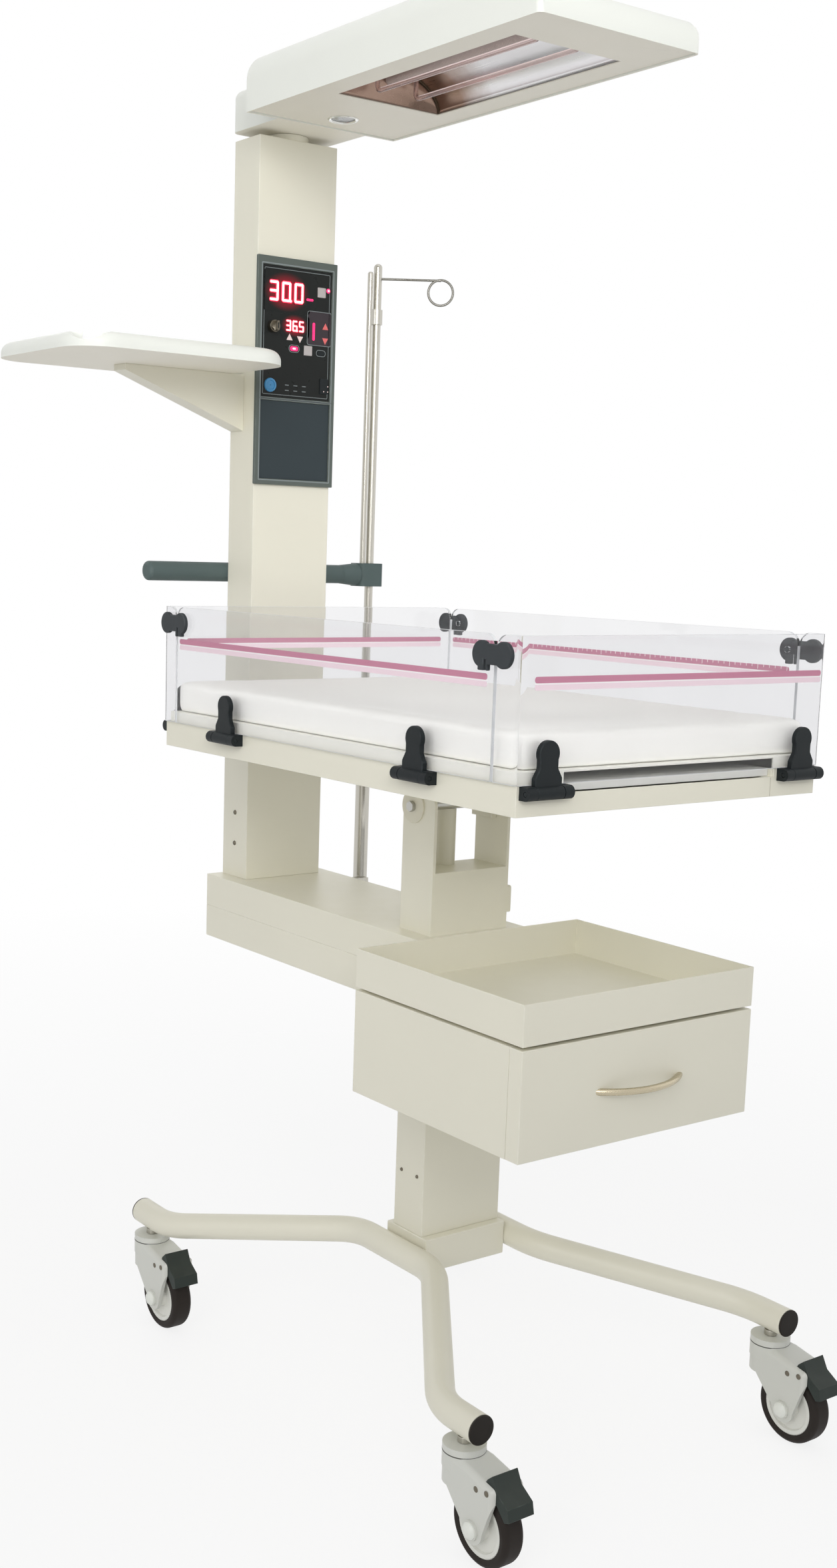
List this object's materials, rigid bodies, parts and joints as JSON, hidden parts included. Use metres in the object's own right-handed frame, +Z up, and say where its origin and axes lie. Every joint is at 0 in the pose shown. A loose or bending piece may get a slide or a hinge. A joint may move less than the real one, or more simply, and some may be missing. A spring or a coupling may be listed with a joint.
{
  "type": "infant radiant warmer",
  "caption": "Infant radiant warmer on casters with a swivelling overhead heater, a tilting bassinet with fold-down clear walls, a drawer, a side shelf and an infusion pole.",
  "frame": {"origin": "on the floor, under the axis of the lower column", "axes": "+Z up, -Y towards the front where the drawer opens, +X to the right for someone who faces the front, the side of the infusion pole"},
  "size_m": [0.7697, 1.0963, 1.9],
  "materials": {
    "cream_paint": "satin powder coat",
    "white_shell": "smooth moulded shell",
    "underside_paint": "satin powder coat",
    "bright_mirror": "polished reflector sheet",
    "quartz": "pinkish clear rod",
    "dark_element": "oxidised heater sheath",
    "lamp_glass": "clear ribbed lens",
    "clear_acrylic": "clear moulded wall",
    "black_plastic": "fine texture",
    "black_rubber": "soft moulded",
    "caster_grey": "moulded",
    "pedal_grey": "moulded",
    "wheel_rubber": "rolling tread on a light hub",
    "bright_steel": "satin",
    "nickel": "satin nickel plate",
    "panel_slate": "printed film",
    "bezel_grey": "moulded frame",
    "key_white": "moulded button",
    "mattress_cover": "wipe-clean coated cover"
  },
  "bodies": {
    "stand": {"base_box": "cream_paint", "left_leg_tube": "cream_paint", "right_leg_tube": "cream_paint", "leg_end_caps": "black_plastic", "caster_stems": "bright_steel", "lower_column": "cream_paint", "pivot_bracket": "cream_paint", "beam_cover": "cream_paint", "beam_tray": "cream_paint", "rear_column": "cream_paint", "panel_bezel": "bezel_grey", "panel_fascia": "panel_slate", "push_handle": "black_plastic", "pole_supports": "bright_steel", "shelf_tray": "white_shell", "shelf_bracket": "cream_paint", "drawer_housing": "cream_paint", "top_tray": "cream_paint", "fasteners": "bright_steel", "power_inlet": "black_plastic"},
    "heater_head": {"head_shell": "white_shell", "head_underplate": "underside_paint", "reflector": "bright_mirror", "heater_element": "dark_element", "guard_rods": "quartz", "exam_lamp": "lamp_glass"},
    "sliding_drawer": {"drawer": "cream_paint", "drawer_handle": "nickel"},
    "bassinet": {"bassinet_tray": "cream_paint", "mattress_deck": "cream_paint", "mattress": "mattress_cover", "panel_hinges": "black_plastic", "rear_panel": "clear_acrylic"},
    "xray_carrier": {"xray_tray": "cream_paint"},
    "left_wall": {"left_panel": "clear_acrylic", "left_hinge_flaps": "black_plastic"},
    "right_wall": {"right_panel": "clear_acrylic", "right_hinge_flaps": "black_plastic"},
    "front_wall": {"front_panel": "clear_acrylic", "front_hinge_flaps": "black_plastic"},
    "front_left_catch": {"front_left_latch": "black_rubber"},
    "rear_left_catch": {"rear_left_latch": "black_rubber"},
    "front_right_catch": {"front_right_latch": "black_rubber"},
    "rear_right_catch": {"rear_right_latch": "black_rubber"},
    "hook_pole": {"iv_pole": "bright_steel"},
    "mute_key": {"mute_button": "key_white"},
    "mode_key": {"mode_button": "key_white"},
    "lock_key": {"key_switch": "bright_steel"},
    "front_left_swivel": {"front_left_fork": "caster_grey"},
    "front_left_roller": {"front_left_wheel": "wheel_rubber"},
    "front_left_brake": {"front_left_brake_pedal": "pedal_grey"},
    "front_right_swivel": {"front_right_fork": "caster_grey"},
    "front_right_roller": {"front_right_wheel": "wheel_rubber"},
    "front_right_brake": {"front_right_brake_pedal": "pedal_grey"},
    "rear_left_swivel": {"rear_left_fork": "caster_grey"},
    "rear_left_roller": {"rear_left_wheel": "wheel_rubber"},
    "rear_left_brake": {"rear_left_brake_pedal": "pedal_grey"},
    "rear_right_swivel": {"rear_right_fork": "caster_grey"},
    "rear_right_roller": {"rear_right_wheel": "wheel_rubber"},
    "rear_right_brake": {"rear_right_brake_pedal": "pedal_grey"}
  },
  "joints": [
    {"name": "bassinet_tilt", "type": "hinge", "parent": "stand", "child": "bassinet", "pos_m": [0, 0.021, 0.84], "axis": [1, 0, 0], "range_deg": [-10, 10]},
    {"name": "head_turn", "type": "hinge", "parent": "stand", "child": "heater_head", "pos_m": [0, 0.4868, 1.816], "axis": [0, 0, 1], "range_deg": [-90, 90]},
    {"name": "drawer_slide", "type": "slide", "parent": "stand", "child": "sliding_drawer", "axis": [0, -1, 0], "range_m": [0, 0.26]},
    {"name": "xray_slide", "type": "slide", "parent": "bassinet", "child": "xray_carrier", "axis": [0, 1, 0], "range_m": [-0.3, 0]},
    {"name": "left_wall_fold", "type": "hinge", "parent": "bassinet", "child": "left_wall", "pos_m": [-0.2668, -0.0077, 0.9227], "axis": [0, -1, 0], "range_deg": [0, 175]},
    {"name": "right_wall_fold", "type": "hinge", "parent": "bassinet", "child": "right_wall", "pos_m": [0.2668, -0.0077, 0.9227], "axis": [0, 1, 0], "range_deg": [0, 175]},
    {"name": "front_wall_fold", "type": "hinge", "parent": "bassinet", "child": "front_wall", "pos_m": [0, -0.4155, 0.9227], "axis": [1, 0, 0], "range_deg": [0, 175]},
    {"name": "pole_slide", "type": "slide", "parent": "stand", "child": "hook_pole", "axis": [0, 0, 1], "range_m": [0, 0.14]},
    {"name": "mute_press", "type": "slide", "parent": "stand", "child": "mute_key", "axis": [0, 1, 0], "range_m": [0, 0.001], "stiffness_N_per_m": 500},
    {"name": "mode_press", "type": "slide", "parent": "stand", "child": "mode_key", "axis": [0, 1, 0], "range_m": [0, 0.001], "stiffness_N_per_m": 500},
    {"name": "lock_turn", "type": "hinge", "parent": "stand", "child": "lock_key", "pos_m": [-0.0453, 0.446, 1.527], "axis": [0, 1, 0], "range_deg": [0, 90]},
    {"name": "front_left_catch_turn", "type": "hinge", "parent": "left_wall", "child": "front_left_catch", "pos_m": [-0.2633, -0.3442, 1.0775], "axis": [-1, 0, 0], "range_deg": [0, 90]},
    {"name": "rear_left_catch_turn", "type": "hinge", "parent": "left_wall", "child": "rear_left_catch", "pos_m": [-0.2633, 0.338, 1.0775], "axis": [1, 0, 0], "range_deg": [0, 90]},
    {"name": "front_right_catch_turn", "type": "hinge", "parent": "right_wall", "child": "front_right_catch", "pos_m": [0.2633, -0.3442, 1.0775], "axis": [-1, 0, 0], "range_deg": [0, 90]},
    {"name": "rear_right_catch_turn", "type": "hinge", "parent": "right_wall", "child": "rear_right_catch", "pos_m": [0.2633, 0.338, 1.0775], "axis": [1, 0, 0], "range_deg": [0, 90]},
    {"name": "front_left_swivel_turn", "type": "hinge", "parent": "stand", "child": "front_left_swivel", "pos_m": [-0.274, -0.383, 0.13], "axis": [0, 0, 1], "continuous": true},
    {"name": "front_left_roll", "type": "hinge", "parent": "front_left_swivel", "child": "front_left_roller", "pos_m": [-0.274, -0.432, 0.05], "axis": [1, 0, 0], "continuous": true},
    {"name": "front_left_brake_press", "type": "hinge", "parent": "front_left_swivel", "child": "front_left_brake", "pos_m": [-0.274, -0.455, 0.108], "axis": [1, 0, 0], "range_deg": [0, 12]},
    {"name": "front_right_swivel_turn", "type": "hinge", "parent": "stand", "child": "front_right_swivel", "pos_m": [0.274, -0.383, 0.13], "axis": [0, 0, 1], "continuous": true},
    {"name": "front_right_roll", "type": "hinge", "parent": "front_right_swivel", "child": "front_right_roller", "pos_m": [0.274, -0.432, 0.05], "axis": [1, 0, 0], "continuous": true},
    {"name": "front_right_brake_press", "type": "hinge", "parent": "front_right_swivel", "child": "front_right_brake", "pos_m": [0.274, -0.455, 0.108], "axis": [1, 0, 0], "range_deg": [0, 12]},
    {"name": "rear_left_swivel_turn", "type": "hinge", "parent": "stand", "child": "rear_left_swivel", "pos_m": [-0.274, 0.383, 0.13], "axis": [0, 0, 1], "continuous": true},
    {"name": "rear_left_roll", "type": "hinge", "parent": "rear_left_swivel", "child": "rear_left_roller", "pos_m": [-0.274, 0.334, 0.05], "axis": [1, 0, 0], "continuous": true},
    {"name": "rear_left_brake_press", "type": "hinge", "parent": "rear_left_swivel", "child": "rear_left_brake", "pos_m": [-0.274, 0.311, 0.108], "axis": [1, 0, 0], "range_deg": [0, 12]},
    {"name": "rear_right_swivel_turn", "type": "hinge", "parent": "stand", "child": "rear_right_swivel", "pos_m": [0.274, 0.383, 0.13], "axis": [0, 0, 1], "continuous": true},
    {"name": "rear_right_roll", "type": "hinge", "parent": "rear_right_swivel", "child": "rear_right_roller", "pos_m": [0.274, 0.334, 0.05], "axis": [1, 0, 0], "continuous": true},
    {"name": "rear_right_brake_press", "type": "hinge", "parent": "rear_right_swivel", "child": "rear_right_brake", "pos_m": [0.274, 0.311, 0.108], "axis": [1, 0, 0], "range_deg": [0, 12]}
  ]
}
